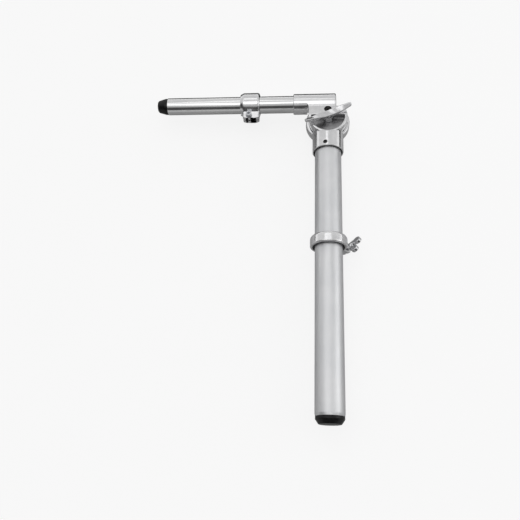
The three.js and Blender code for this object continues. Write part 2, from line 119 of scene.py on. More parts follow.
LEG_COLLAR = dict(outer=25.5, drop=0.8, taper=0.8, shoulder=5.0, reach=38.0, half=6.5, turn=45,
                  flare=1.2, lug_low=1.2, lug_high=14.8, screw_u=31.75, screw_at=8.0, nut_depth=0.0)
ARM_COLLAR = dict(outer=18.0, drop=2.6, taper=5.0, shoulder=3.0, reach=28.0, half=7.0, turn=0,
                  flare=0.6, lug_low=4.5, lug_high=29.0, screw_u=23.0, screw_at=13.75, nut_depth=3.6)
SLOT = 2.0
SCREW_R = 2.5
NUT = dict(flats=8, leg=4.5, arm=3.1)
# Each wing of the wing bolt is a strip that leans out from root by run, with a round lobe at its end;
# the pairs are (out from the screw's axis, up from the bolt's seat).
WING = dict(turn=math.radians(24), root=(3.0, 3.8), run=(5.4, 9.0), strip_r=3.2, lobe=(7.8, 13.4),
            lobe_r=5.1, half_thick=2.6, edge=0.9)

FOOT_PLUG = dict(nose_r=14.5, nose=6.0, rim=1.8)
ARM_PLUG = dict(nose_r=8.6, nose=12.0, rim=3.4)
FOOT_BAND = 3.6

# ---------------------------------------------------------------- meshes

# A lathed outline's point this near the axis, in mm, is taken to be on it.
ON_AXIS = 1e-6
# How a piece lathed about z is turned to stand on each axis.
AXIS_ORDER = {"x": [2, 0, 1], "y": [1, 2, 0], "z": [0, 1, 2]}
# Straight steps in a rounded corner of an outline.
CORNER_STEPS = 6
# Edges that turn by more than this are shaded sharp.
SHARP = math.radians(33)
# Newton steps that pull a net's points onto the surface.
SETTLE_STEPS = 5


def mark(thing, name, values):
    """Stores one number per mesh point for the materials to read."""
    layer = thing.data.attributes.new(name, "FLOAT", "POINT")
    layer.data.foreach_set("value", np.asarray(values, np.float32))


def mesh_object(name, points, faces, normals=None):
    """A smooth-shaded mesh object from points in mm, with its own normals if they are given."""
    mesh = bpy.data.meshes.new(name)
    mesh.from_pydata((np.asarray(points) * MM).tolist(), [], [list(f) for f in faces])
    mesh.validate()
    mesh.polygons.foreach_set("use_smooth", [True] * len(mesh.polygons))
    if normals is not None:
        mesh.normals_split_custom_set_from_vertices(np.asarray(normals).tolist())
    mesh.update()
    thing = bpy.data.objects.new(name, mesh)
    bpy.context.scene.collection.objects.link(thing)
    return thing


def turned(name, outline, axis, at, sides=144):
    """A lathed piece. The outline is a closed list of (radius, height) or (radius, height, edge)
    corners, in mm; its sharp corners are split so that flats stay flat."""
    ring = rounded_outline(outline)
    count = len(ring)
    points = []
    for angle in np.radians(np.linspace(0.0, 360.0, sides + 1))[:-1]:
        for radius, height in ring:
            points.append((radius * math.cos(angle), radius * math.sin(angle), height))
    faces = []
    for i in range(sides):
        j = (i + 1) % sides
        for k in range(count):
            m = (k + 1) % count
            if ring[k][0] < ON_AXIS and ring[m][0] < ON_AXIS:
                continue
            faces.append((i * count + k, j * count + k, j * count + m, i * count + m))
    points = np.array(points)[:, AXIS_ORDER[axis]]
    thing = mesh_object(name, points + np.asarray(at), faces)
    clean(thing)
    return thing


def rounded_outline(outline):
    """Replaces each (radius, height, edge) corner by a short arc of that edge radius."""
    result = []
    count = len(outline)
    for i, corner in enumerate(outline):
        here = np.array(corner[:2], float)
        edge = corner[2] if len(corner) > 2 else 0.0
        if edge <= 0:
            result.append(tuple(here))
            continue
        before = np.array(outline[i - 1][:2], float) - here
        after = np.array(outline[(i + 1) % count][:2], float) - here
        before /= np.linalg.norm(before)
        after /= np.linalg.norm(after)
        turn = math.acos(np.clip(before @ after, -1, 1))
        back = edge / math.tan(turn / 2)
        middle = here + (before + after) / np.linalg.norm(before + after) * edge / math.sin(turn / 2)
        first = here + before * back - middle
        last = here + after * back - middle
        for step in range(CORNER_STEPS + 1):
            t = step / CORNER_STEPS
            mix = first * math.sin((1 - t) * (math.pi - turn)) + last * math.sin(t * (math.pi - turn))
            result.append(tuple(middle + mix / math.sin(math.pi - turn)))
    return result


def clean(thing):
    """Merges doubled points, makes the normals face out and keeps sharp edges sharp."""
    work = bmesh.new()
    work.from_mesh(thing.data)
    bmesh.ops.remove_doubles(work, verts=work.verts, dist=1e-7)
    bmesh.ops.recalc_face_normals(work, faces=work.faces)
    for edge in work.edges:
        if len(edge.link_faces) == 2 and edge.calc_face_angle() > SHARP:
            edge.smooth = False
    work.to_mesh(thing.data)
    work.free()


# ---------------------------------------------------------------- distance fields, mm


def length(*parts):
    return np.sqrt(sum(part * part for part in parts))


def round_max(a, b, k):
    """The larger of two fields with the corner rounded off over about k."""
    h = np.clip(0.5 + 0.5 * (a - b) / k, 0, 1)
    return b + (a - b) * h + k * h * (1 - h)


def join(a, b, k):
    """Union with a fillet of about k."""
    return -round_max(-a, -b, k)


def cut(a, b, k=0.5):
    """a with b taken away, the new edges rounded over about k."""
    return round_max(a, -b, k)


def bar(radial, along, radius, low, high, edge_low, edge_high=None):
    """A round bar with rounded ends: radial is the distance from its axis, along the place on it."""
    edge_high = edge_low if edge_high is None else edge_high
    edge = np.where(along < (low + high) / 2, edge_low, edge_high)
    side = radial - radius + edge
    end = np.abs(along - (low + high) / 2) - (high - low) / 2 + edge
    outside = length(np.maximum(side, 0), np.maximum(end, 0))
    return outside + np.minimum(np.maximum(side, end), 0) - edge


def block(p, low, high, edge):
    """A box with rounded edges."""
    middle = (np.array(low) + np.array(high)) / 2
    half = (np.array(high) - np.array(low)) / 2 - edge
    away = np.abs(p - middle) - half
    outside = np.sqrt((np.maximum(away, 0) ** 2).sum(-1))
    return outside + np.minimum(away.max(-1), 0) - edge


def hexagon(u, v, flats):
    """Distance from a hexagonal outline, that many mm across its flats."""
    half = flats / 2
    tilted = math.sqrt(3) / 2
    return np.maximum(np.abs(v), np.abs(u) * tilted + np.abs(v) * 0.5) - half


def hex_bar(u, v, along, flats, low, high, edge):
    side = hexagon(u, v, flats)
    end = np.abs(along - (low + high) / 2) - (high - low) / 2
    return round_max(side, end, edge)


def smooth_step(low, high, x):
    t = np.clip((x - low) / (high - low), 0, 1)
    return t * t * (3 - 2 * t)


def gradient(field, p, step=0.02):
    slopes = []
    for k in range(3):
        offset = np.zeros(3)
        offset[k] = step
        slopes.append((field(p + offset) - field(p - offset)) / (2 * step))
    return np.stack(slopes, -1)


def skin(name, field, low, high, cell):
    """Skins the zero level of a field with a surface net whose points are pulled onto the surface."""
    low = np.array(low, float) - 1.5 * cell
    high = np.array(high, float) + 1.5 * cell
    counts = np.ceil((high - low) / cell).astype(int) + 1
    axes = [low[k] + cell * np.arange(counts[k]) for k in range(3)]
    grid = np.stack(np.meshgrid(*axes, indexing="ij"), -1)
    inside = field(grid.reshape(-1, 3)).reshape(counts) < 0
    cubes = counts - 1
    total = np.zeros(cubes, int)
    for dx in (0, 1):
        for dy in (0, 1):
            for dz in (0, 1):
                total += inside[dx:dx + cubes[0], dy:dy + cubes[1], dz:dz + cubes[2]]
    active = (total > 0) & (total < 8)
    index = np.full(cubes, -1)
    index[active] = np.arange(active.sum())
    points = low + cell * (np.argwhere(active) + 0.5)
    points = settle(field, points, cell)
    faces = []
    for axis in range(3):
        faces.append(net_faces(inside, index, axis))
    normals = gradient(field, points)
    normals /= np.maximum(np.linalg.norm(normals, axis=1, keepdims=True), 1e-9)
    return mesh_object(name, points, np.concatenate(faces), normals)


def net_faces(inside, index, axis):
    """The net's quads across the grid edges that run along one axis."""
    order = [axis, (axis + 1) % 3, (axis + 2) % 3]
    solid = np.transpose(inside, order)
    cell_index = np.transpose(index, order)
    changed = solid[:-1] != solid[1:]
    changed = changed[:, 1:-1, 1:-1]
    i, j, k = np.nonzero(changed)
    quad = [cell_index[i, j, k], cell_index[i, j + 1, k]]
    quad += [cell_index[i, j + 1, k + 1], cell_index[i, j, k + 1]]
    quad = np.stack(quad, -1)
    outward = solid[:-1][:, 1:-1, 1:-1][i, j, k]
    quad[~outward] = quad[~outward][:, ::-1]
    return quad


def settle(field, points, cell):
    """Pulls net points onto the surface, never far from the cell that they came from."""
    home = points.copy()
    for _ in range(SETTLE_STEPS):
        slope = gradient(field, points)
        size = np.maximum((slope * slope).sum(-1, keepdims=True), 0.05)
        points = points - field(points)[:, None] * slope / size
        points = home + np.clip(points - home, -0.7 * cell, 0.7 * cell)
    return points


# ---------------------------------------------------------------- knuckle fields


def leg_half_field(p):
    """The back disc with the socket that holds the leg tube; measured from the pivot."""
    x, y, z = (p - PIVOT).T
    from_pivot = length(x, y)
    from_axis = length(x, z)
    disc = bar(from_pivot, z, LEG_DISC["r"], LEG_DISC["low"], LEG_DISC["top"],
               LEG_DISC["back_edge"], LEG_DISC["lap_edge"])
    socket = bar(from_axis, y, SOCKET["r"], SOCKET["mouth"], SOCKET["back"], SOCKET["edge"])
    body = join(disc, socket, 3.0)
    lap = np.maximum(from_pivot - SOCKET["lip_r"], LEG_DISC["top"] - z)
    body = cut(body, lap, 1.0)
    bore = np.maximum(from_axis - LEG_R - BORE_PLAY, y - SOCKET["floor"])
    body = cut(body, bore, 0.5)
    mouth = np.maximum(from_axis - LEG_R - MOUTH["wider"], y - SOCKET["mouth"] - MOUTH["depth"])
    body = cut(body, mouth, 0.4)
    body = cut(body, from_pivot - BOLT["r"] - GAP, 0.6)
    body = cut(body, np.maximum(from_pivot - POCKET["r"], POCKET["floor"] - z), 0.4)
    pocket = np.maximum(hexagon(x, y, BOLT["head_flats"] + 2 * GAP),
                        z - LEG_DISC["low"] - BOLT["head_sunk"])
    body = cut(body, pocket, 0.5)
    grub = np.maximum(length(x - GRUB["x"], y - GRUB["y"]) - GRUB["r"] - 0.2, 10 - z)
    return cut(body, grub, 0.6)


def arm_half_field(p):
    """The front disc with its half-moon recess, the web and the flat-backed sleeve."""
    x, y, z = (p - PIVOT).T
    from_pivot = length(x, y)
    across = y - SLEEVE["offset"]
    from_axis = length(across, z)
    disc = bar(from_pivot, z, ARM_DISC["r"], 0, ARM_DISC["top"], 0.6, ARM_DISC["edge"])
    drop = (ARM_DISC["top"] - WEB["low_z"]) / (WEB["low_y"] - WEB["high_y"])
    web = block(np.stack([x, y, z], -1), (-ARM_DISC["r"], 0, 0),
                (SLEEVE["end"], SLEEVE["offset"] + 4, ARM_DISC["top"]), 1.4)
    plane = (z - ARM_DISC["top"] + drop * np.maximum(y - WEB["high_y"], 0)) * 0.97
    disc = round_max(join(disc, web, 1.5), plane, 0.8)
    sleeve = bar(from_axis, x, SLEEVE["r"], SLEEVE["mouth"], SLEEVE["end"], 1.3, 2.4)
    back = np.maximum(SLEEVE["full"] - x, z)
    sleeve = cut(sleeve, back, 0.8)
    body = join(disc, sleeve, 3.0)
    body = round_max(body, np.where(x > SLEEVE["full"], -z, -z - 40), 0.5)
    corner = np.maximum(SLEEVE["end"] - x, ARM_DISC["shoulder"] - y)
    body = cut(body, corner, 1.5)
    above = RECESS["floor"] - z
    moon = round_max(from_pivot - RECESS["r"], y - RECESS["back"], 2.0)
    hollow = np.minimum(moon, from_pivot - RECESS["hub_r"])
    body = cut(body, round_max(hollow, above, 1.6), 1.2)
    bore = np.maximum(from_axis - ARM_R - BORE_PLAY, x - SLEEVE["full"] + 1)
    body = cut(body, bore, 0.5)
    body = cut(body, from_pivot - BOLT["r"] - GAP, 0.6)
    from_key = length(x, y - KEY["y"])
    floor = ARM_DISC["top"] - KEY["depth"]
    body = cut(body, np.maximum(from_key - KEY["bore"], floor - z), 0.8)
    body = cut(body, from_key - 2.3, 0.3)
    pin = np.maximum(length(x - SLEEVE_PIN_X, across) - 2.3, z)
    return cut(body, pin, 0.5)


def lever_field(p):
    """The wing lever: two blades tipped opposite ways like a propeller's, on a tall round hub."""
    q = p - PIVOT
    cos, sin = math.cos(LEVER["angle"]), math.sin(LEVER["angle"])
    x = q[:, 0] * cos + q[:, 1] * sin
    y = -q[:, 0] * sin + q[:, 1] * cos
    t = np.minimum(np.abs(x) / LEVER["reach"], 1.1)
    rise = q[:, 2] - (LEVER["root_z"] + LEVER["rise"] * t**1.4)
    tipped = LEVER["pitch"] * np.sign(x) * smooth_step(0.0, 0.8, t)
    across = y * np.cos(tipped) + rise * np.sin(tipped)
    through = -y * np.sin(tipped) + rise * np.cos(tipped)
    half_wide = 5.2 + 1.0 * t - 3.6 * t * t
    half_thick = 2.9 - 0.9 * t
    edge = LEVER["edge"]
    side = np.abs(across) - half_wide + edge
    face = np.abs(through) - half_thick + edge
    tip = np.abs(x) - LEVER["reach"] + edge + 0.05 * across**2
    outside = length(np.maximum(side, 0), np.maximum(face, 0), np.maximum(tip, 0))
    blade = outside + np.minimum(np.maximum(np.maximum(side, face), tip), 0) - edge
    from_pivot = length(q[:, 0], q[:, 1])
    hub = bar(from_pivot, q[:, 2], LEVER_HUB["r"], LEVER_HUB["low"], LEVER_HUB["high"], 0.6, 2.5)
    body = join(blade * 0.9, hub, 2.0)
    thread_hole = np.maximum(from_pivot - BOLT["r"] - BORE_PLAY, q[:, 2] - BOLT["top"] - 0.5)
    return cut(body, thread_hole, 0.3)


# ---------------------------------------------------------------- collar fields


def collar_axes(p, which):
    """Turns points into the collar's own axes: u out towards the ears, v along the tube from the
    collar's low end, w along the clamp screw."""
    if which == "leg":
        q = p - np.array([0, LEG_COLLAR_Y, 0])
        turn = math.radians(LEG_COLLAR["turn"])
        u = q[:, 0] * math.cos(turn) - q[:, 2] * math.sin(turn)
        w = q[:, 0] * math.sin(turn) + q[:, 2] * math.cos(turn)
        return u, q[:, 1], w
    q = p - np.array([ARM_COLLAR_X, ARM_Y, 0])
    return -q[:, 1], q[:, 0], q[:, 2]


def collar_length(node, axis):
    low, high = corners(node)
    return high[axis] - low[axis]


def collar_field(size, which, tube_r, total):
    bore_r = tube_r + 2 * GAP + LINER
    screw_u = size["screw_u"]
    lug = (size["lug_high"] - size["lug_low"]) / 2
    lug_middle = (size["lug_high"] + size["lug_low"]) / 2

    def field(p):
        u, v, w = collar_axes(p, which)
        radial = length(u, w)
        body = bar(radial, v, size["outer"], 0, total, 0.7, size["shoulder"])
        nose = radial - size["outer"] + size["drop"] * (1 - v / size["taper"])
        body = round_max(body, nose * 0.88, 0.8)
        edge = 1.6
        side = np.abs(v - lug_middle) - lug + edge
        face = np.abs(w) - size["half"] + edge
        reach = u - size["reach"] - 0.4 + edge
        bow = 0.016 * (v - lug_middle) ** 2
        outside = length(np.maximum(side, 0), np.maximum(face, 0), np.maximum(reach + bow, 0))
        ears = outside + np.minimum(np.maximum(np.maximum(side, face), reach + bow), 0) - edge
        ears = np.maximum(ears, -u)
        body = join(body, ears, 2.2)
        body = cut(body, radial - bore_r, 0.6)
        body = cut(body, np.maximum(radial - bore_r - size["flare"], v - 2), 0.4)
        if size["nut_depth"] > 0:
            under = np.maximum(hexagon(v - size["screw_at"], u - screw_u, NUT["flats"] + 2 * GAP),
                               w + size["half"] - size["nut_depth"])
            body = cut(body, under, 0.3)
        body = cut(body, np.maximum(np.abs(w) - SLOT / 2, -u), 0.6)
        hole = length(u - screw_u, v - size["screw_at"]) - SCREW_R - GAP
        return cut(body, hole, 0.5)

    return field


def screw_axes(p, which):
    """The clamp screw's own axes: a towards the ears' tips, b along the tube, w along the screw."""
    if which == "leg":
        q = p - LEG_SCREW
        turn = math.radians(LEG_COLLAR["turn"])
        return (q[:, 0] * math.cos(turn) - q[:, 2] * math.sin(turn), q[:, 1],
                q[:, 0] * math.sin(turn) + q[:, 2] * math.cos(turn))
    q = p - ARM_SCREW
    return -q[:, 1], q[:, 0], q[:, 2]


def thread(radial, around, along, radius, pitch=0.8, depth=0.22):
    """A round bar with a screw thread on it."""
    phase = along / pitch - around / (2 * math.pi)
    return radial - radius + depth * (0.5 + 0.5 * np.cos(2 * math.pi * phase))


def wing_bolt_field(p):
    a, b, w = screw_axes(p, "leg")
    radial = length(a, b)
    seat = LEG_COLLAR["half"] + 1.2 + 2 * GAP
    shank = np.maximum(thread(radial, np.arctan2(b, a), w, SCREW_R), -12.2 - w)
    shank = np.maximum(shank, w - seat - 1)
    hub = bar(radial, w, 4.4, seat, seat + 7, 0.5, 1.6)
    cos, sin = math.cos(WING["turn"]), math.sin(WING["turn"])
    a, b = a * cos - b * sin, a * sin + b * cos
    reach = np.abs(b)
    rise = w - seat
    out, up = reach - WING["root"][0], rise - WING["root"][1]
    run_out, run_up = WING["run"]
    along = np.clip((out * run_out + up * run_up) / (run_out**2 + run_up**2), 0, 1)
    strip = length(out - run_out * along, up - run_up * along) - WING["strip_r"]
    lobe = length(reach - WING["lobe"][0], rise - WING["lobe"][1]) - WING["lobe_r"]
    outline = join(strip, lobe, 2.0)
    edge = WING["edge"]
    flat = np.abs(a) - WING["half_thick"] + edge
    outside = length(np.maximum(outline + edge, 0), np.maximum(flat, 0))
    wings = outside + np.minimum(np.maximum(outline + edge, flat), 0) - edge
    return np.minimum(join(hub, wings, 1.2), shank)


def socket_screw_field(p, axis_point, top, head_r, head, shank_r, shank, key, threaded=True):
    q = p - np.array(axis_point)
    radial = length(q[:, 0], q[:, 1])
    along = q[:, 2] - top
    body = bar(radial, along, head_r, -head, 0, 0.3, 0.45)
    key_hole = np.maximum(hexagon(q[:, 0], q[:, 1], key), -0.6 * head - along)
    body = cut(body, key_hole, 0.2)
    stem = radial - shank_r
    if threaded:
        stem = thread(radial, np.arctan2(q[:, 1], q[:, 0]), along, shank_r)
    stem = np.maximum(np.maximum(stem, -head - shank - along), along + head - 0.3)
    return np.minimum(body, stem)


def nut_field(which, low, high):
    flats = NUT["flats"]

    def field(p):
        a, b, w = screw_axes(p, which)
        nut = hex_bar(b, a, w, flats, low, high, 0.3)
        radial = length(a, b)
        chamfer = (radial + np.abs(w - (low + high) / 2) - flats / 2 - (high - low) / 2 - 0.35) * 0.7
        nut = round_max(nut, chamfer, 0.2)
        return cut(nut, radial - SCREW_R - BORE_PLAY, 0.25)

    return field


def pivot_bolt_field(p):
    x, y, z = (p - PIVOT).T
    radial = length(x, y)
    low = LEG_DISC["low"] - BOLT["head_proud"]
    high = LEG_DISC["low"] + BOLT["head_sunk"] - GAP
    head = hex_bar(x, y, z, BOLT["head_flats"], low, high, 0.3)
    chamfer = (radial - (z - low) - BOLT["head_flats"] / 2) * 0.7
    head = round_max(head, chamfer, 0.25)
    shank = np.maximum(radial - BOLT["r"], np.maximum(LEG_DISC["low"] - z, z - BOLT["top"]))
    return np.minimum(head, shank)


# ---------------------------------------------------------------- materials


class Shader:
    """A node material: metal or plastic whose colour, roughness and relief vary with noise."""

    def __init__(self, name):
        self.material = bpy.data.materials.new(name)
        self.material.use_nodes = True
        self.tree = self.material.node_tree
        self.surface = self.tree.nodes["Principled BSDF"]
        self.place = self.tree.nodes.new("ShaderNodeTexCoord").outputs["Object"]

    def node(self, kind, **settings):
        made = self.tree.nodes.new(kind)
        for key, value in settings.items():
            setattr(made, key, value)
        return made

    def link(self, source, target):
        self.tree.links.new(source, target)

    def noise(self, per_mm, detail=4.0, stretch=(1, 1, 1)):
        """Noise whose features are about 1/per_mm long; stretch scales it on each axis."""
        mapping = self.node("ShaderNodeMapping")
        mapping.inputs["Scale"].default_value = stretch
        self.link(self.place, mapping.inputs["Vector"])
        noise = self.node("ShaderNodeTexNoise")
        noise.inputs["Scale"].default_value = per_mm / MM
        noise.inputs["Detail"].default_value = detail
        self.link(mapping.outputs["Vector"], noise.inputs["Vector"])
        return noise.outputs["Fac"]

    def spread(self, value, low, high, start=0.3, stop=0.7):
        ranged = self.node("ShaderNodeMapRange")
        ranged.inputs["From Min"].default_value = start
        ranged.inputs["From Max"].default_value = stop
        ranged.inputs["To Min"].default_value = low
        ranged.inputs["To Max"].default_value = high
        self.link(value, ranged.inputs["Value"])
        return ranged.outputs["Result"]

    def tint(self, value, dark, light, start=0.3, stop=0.7):
        ramp = self.node("ShaderNodeValToRGB")
        ramp.color_ramp.elements[0].position = start
        ramp.color_ramp.elements[0].color = (*dark, 1)
        ramp.color_ramp.elements[1].position = stop
        ramp.color_ramp.elements[1].color = (*light, 1)
        self.link(value, ramp.inputs["Fac"])
        self.link(ramp.outputs["Color"], self.surface.inputs["Base Color"])

    def rough(self, value, low, high, start=0.3, stop=0.7):
        self.link(self.spread(value, low, high, start, stop), self.surface.inputs["Roughness"])

    def relief(self, value, height_mm, strength=1.0):
        bump = self.node("ShaderNodeBump")
        bump.inputs["Strength"].default_value = strength
        bump.inputs["Distance"].default_value = height_mm * MM
        self.link(value, bump.inputs["Height"])
        old = self.surface.inputs["Normal"]
        if old.is_linked:
            self.link(old.links[0].from_socket, bump.inputs["Normal"])
        self.link(bump.outputs["Normal"], old)

    def math(self, operation, first, second=None):
        """A sum on one or two values; the second may be a socket or a number."""
        made = self.node("ShaderNodeMath", operation=operation)
        self.link(first, made.inputs[0])
        if isinstance(second, float):
            made.inputs[1].default_value = second
        elif second is not None:
            self.link(second, made.inputs[1])
        return made.outputs["Value"]

    def metal(self, amount):
        self.surface.inputs["Metallic"].default_value = amount
        return self


def satin_anodised(name, stretch):
    """Satin tube: fine grain drawn along the tube, faint handling marks."""
    s = Shader(name).metal(1.0)
    grain = s.noise(1.6, 6, stretch)
    marks = s.noise(0.03, 4)
    s.tint(marks, (0.80, 0.81, 0.825), (0.87, 0.875, 0.885))
    s.rough(grain, 0.40, 0.52)
    s.surface.inputs["Anisotropic"].default_value = 0.35
    s.relief(grain, 0.006, 0.5)
    return s.material


def polished_tube(name, stretch):
    """Bright drawn tube with hairline marks along its length."""
    s = Shader(name).metal(1.0)
    hairlines = s.noise(2.2, 6, stretch)
    smears = s.noise(0.05, 5)
    s.tint(smears, (0.84, 0.845, 0.85), (0.92, 0.92, 0.92))
    s.rough(smears, 0.10, 0.20)
    s.relief(hairlines, 0.004, 0.35)
    return s.material


def polished_casting(name):
    """Buffed die casting: mirror bright, slightly wavy, with dull patches and fine pits."""
    s = Shader(name).metal(1.0)
    waves = s.noise(0.08, 2)
    patches = s.noise(0.12, 6)
    pits = s.noise(1.4, 3)
    s.tint(patches, (0.80, 0.80, 0.81), (0.90, 0.90, 0.905))
    s.rough(patches, 0.11, 0.24)
    s.relief(waves, 0.25, 0.5)
    s.relief(pits, 0.01, 0.35)
    # The hollows get dull cast metal, painted dark as shade.
    paint_cast_shade(s)
    return s.material


def paint_cast_shade(s):
    """Where the mesh says so, the polish gives way to dull cast metal, painted dark as shade in the hollows."""
    left = s.node("ShaderNodeAttribute", attribute_name="cast_shade").outputs["Fac"]
    crust = s.noise(0.9, 6)
    # These dark colours paint shade into the hollows, over a random cast tone.
    ramp = s.node("ShaderNodeValToRGB")
    ramp.color_ramp.elements[0].color = (0.13, 0.13, 0.133, 1)
    ramp.color_ramp.elements[1].color = (0.30, 0.30, 0.305, 1)
    s.link(crust, ramp.inputs["Fac"])
    color = s.node("ShaderNodeMix", data_type="RGBA")
    s.link(left, color.inputs["Factor"])
    s.link(s.surface.inputs["Base Color"].links[0].from_socket, color.inputs["A"])
    s.link(ramp.outputs["Color"], color.inputs["B"])
    s.link(color.outputs["Result"], s.surface.inputs["Base Color"])
    rough = s.node("ShaderNodeMix", data_type="FLOAT")
    s.link(left, rough.inputs["Factor"])
    s.link(s.surface.inputs["Roughness"].links[0].from_socket, rough.inputs["A"])
    s.link(s.spread(crust, 0.26, 0.48), rough.inputs["B"])
    s.link(rough.outputs["Result"], s.surface.inputs["Roughness"])


def chrome(name):
    s = Shader(name).metal(1.0)
    waves = s.noise(0.12, 2)
    wear = s.noise(0.35, 6)
    s.tint(wear, (0.70, 0.70, 0.71), (0.82, 0.82, 0.83))
    s.rough(wear, 0.08, 0.20)
    s.relief(waves, 0.12, 0.4)
    return s.material


def zinc(name):
    s = Shader(name).metal(1.0)
    spangle = s.noise(0.8, 4)
    s.tint(spangle, (0.55, 0.56, 0.58), (0.72, 0.73, 0.75))
    s.rough(spangle, 0.22, 0.38)
    s.relief(spangle, 0.02, 0.3)
    return s.material


def black_steel(name):
    s = Shader(name).metal(1.0)
    patches = s.noise(0.6, 5)
    s.tint(patches, (0.03, 0.03, 0.032), (0.08, 0.078, 0.075))
    s.rough(patches, 0.3, 0.5)
    s.relief(patches, 0.02, 0.3)
    return s.material


def spring_steel(name):
    s = Shader(name).metal(1.0)
    patches = s.noise(0.7, 5)
    s.tint(patches, (0.34, 0.34, 0.35), (0.50, 0.50, 0.52))
    s.rough(patches, 0.25, 0.42)
    s.relief(patches, 0.02, 0.3)
    return s.material


def black_rubber(name):
    s = Shader(name)
    dust = s.noise(0.2, 6)
    pores = s.noise(2.5, 4)
    s.tint(dust, (0.004, 0.004, 0.0042), (0.010, 0.010, 0.0105))
    s.rough(dust, 0.24, 0.42)
    s.surface.inputs["Specular IOR Level"].default_value = 0.3
    s.relief(pores, 0.03, 0.3)
    return s.material


def black_nylon(name):
    s = Shader(name)
    mottle = s.noise(0.5, 5)
    s.tint(mottle, (0.012, 0.012, 0.012), (0.03, 0.03, 0.03))
    s.rough(mottle, 0.38, 0.55)
    s.relief(mottle, 0.03, 0.3)
    return s.material


def friction_fibre(name):
    s = Shader(name)
    fibres = s.noise(1.2, 8)
    s.tint(fibres, (0.05, 0.035, 0.022), (0.16, 0.115, 0.075))
    s.rough(fibres, 0.75, 0.95)
    s.relief(fibres, 0.08, 0.6)
    return s.material


MATERIALS = {
    "leg_tube_satin": satin_anodised("leg_tube_satin", (1, 0.02, 1)),
    "arm_tube_polished": polished_tube("arm_tube_polished", (0.02, 1, 1)),
    "cast_polished": polished_casting("cast_polished"),
    "chromed_casting": chrome("chromed_casting"),
    "zinc_steel": zinc("zinc_steel"),
    "dark_steel": black_steel("dark_steel"),
    "spring_steel": spring_steel("spring_steel"),
    "black_rubber": black_rubber("black_rubber"),
    "black_nylon": black_nylon("black_nylon"),
    "friction_fibre": friction_fibre("friction_fibre"),
}

# ---------------------------------------------------------------- putting pieces in place

SLOTS = {row["node"]: row["material_slot"] for row in frame["record"]["subparts"]}
BODIES = frame["record"]["behaviour"]["bodies"]


def body_of(node):
    return next(body for body, members in BODIES.items() if node in members)


def finish_piece(thing, node):
    """Gives a piece its material and lets it stand for its CAD node."""
    thing.data.materials.clear()
    thing.data.materials.append(MATERIALS[SLOTS[node]])
    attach(thing, body_of(node))
    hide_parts(node)
    return thing


def skinned(node, field, cell, shade_mask=None):
    """Skins a piece; the optional mask gives, for points in mm, how far their surface is dull cast metal painted
    dark as shade.
    """
    low, high = corners(node)
    thing = skin(node + "_skin", field, low - 0.5, high + 0.5, cell)
    if shade_mask is not None:
        points = np.array([v.co for v in thing.data.vertices]) / MM
        mark(thing, "cast_shade", shade_mask(points))
    return finish_piece(thing, node)


def arm_half_shade(p):
    """The recess, the key screw's bore and the hollows of the arm half are dull cast metal with painted shade."""
    x, y, z = (p - PIVOT).T
    # The painted shade grows with depth below the disc's face.
    deeper_shade = smooth_step(ARM_DISC["top"] - 1.0, ARM_DISC["top"] - 2.6, z)
    moon = (length(x, y) < RECESS["r"] + 0.6) & (y < RECESS["back"] + 1.5)
    hub = length(x, y) < RECESS["hub_r"] + 0.6
    bore = length(x, y - KEY["y"]) < KEY["bore"] + 0.4
    tube_bore = length(y - SLEEVE["offset"], z) < ARM_R + 0.6
    return np.where(moon | hub, 0.8 * deeper_shade, 0) + np.where(bore & (z < 12), 1, 0) + np.where(
        tube_bore & (x < SLEEVE["mouth"] + 20) & (x > SLEEVE["mouth"] + 1), 1, 0)


def leg_half_shade(p):
    """Inside the socket and under the lap the leg half is dull cast metal, painted dark as shade."""
    x, y, z = (p - PIVOT).T
    inside = (length(x, z) < SOCKET["r"] - 1.2) & (y < SOCKET["floor"] + 1) & (y > SOCKET["mouth"] + 0.6)
    grub = length(x - GRUB["x"], y - GRUB["y"]) < GRUB["r"] + 0.5
    return np.where(inside | (grub & (z < SOCKET["r"] - 1.2) & (z > 0)), 1.0, 0.0)


def collar_bore_shade(which, size, tube_r):
    """The inside of a stop collar is dull cast metal, painted dark as shade."""
    def shade_mask(p):
        u, v, w = collar_axes(p, which)
        return np.where(length(u, w) < tube_r + 2 * GAP + LINER + size["flare"] + 0.2, 1.0, 0.0)

    return shade_mask


def lathed(node, outline, axis, at, **options):
    return finish_piece(turned(node + "_turned", outline, axis, at, **options), node)


# ---------------------------------------------------------------- the pieces


def tube(node, axis, at, radius, wall, low, high, band=0.0):
    """A tube; a band of that length at its low end is turned down slightly towards the end."""
    edge = 0.35
    outline = [(radius - 0.14 * band, low, edge)]
    if band:
        outline.append((radius, low + band, edge))
    outline += [(radius, high, edge), (radius - wall, high, edge), (radius - wall, low, edge)]
    lathed(node, outline, axis, at)


def end_plug(node, axis, at, radius, wall, out, shape):
    """A plug that stands out of its tube's end by out, tapering over its nose."""
    flange = radius - 0.6
    spigot = radius - wall - GAP
    top = out + 0.9 * radius
    outline = [
        (0, 0), (shape["nose_r"], 0, shape["rim"]), (flange, shape["nose"], 1.2), (flange, out - GAP, 0.3),
        (spigot, out - GAP), (spigot, top, 1.0), (spigot - 4, top, 0.5), (spigot - 4, out + 1),
        (0, out + 1),
    ]
    lathed(node, outline, axis, at)


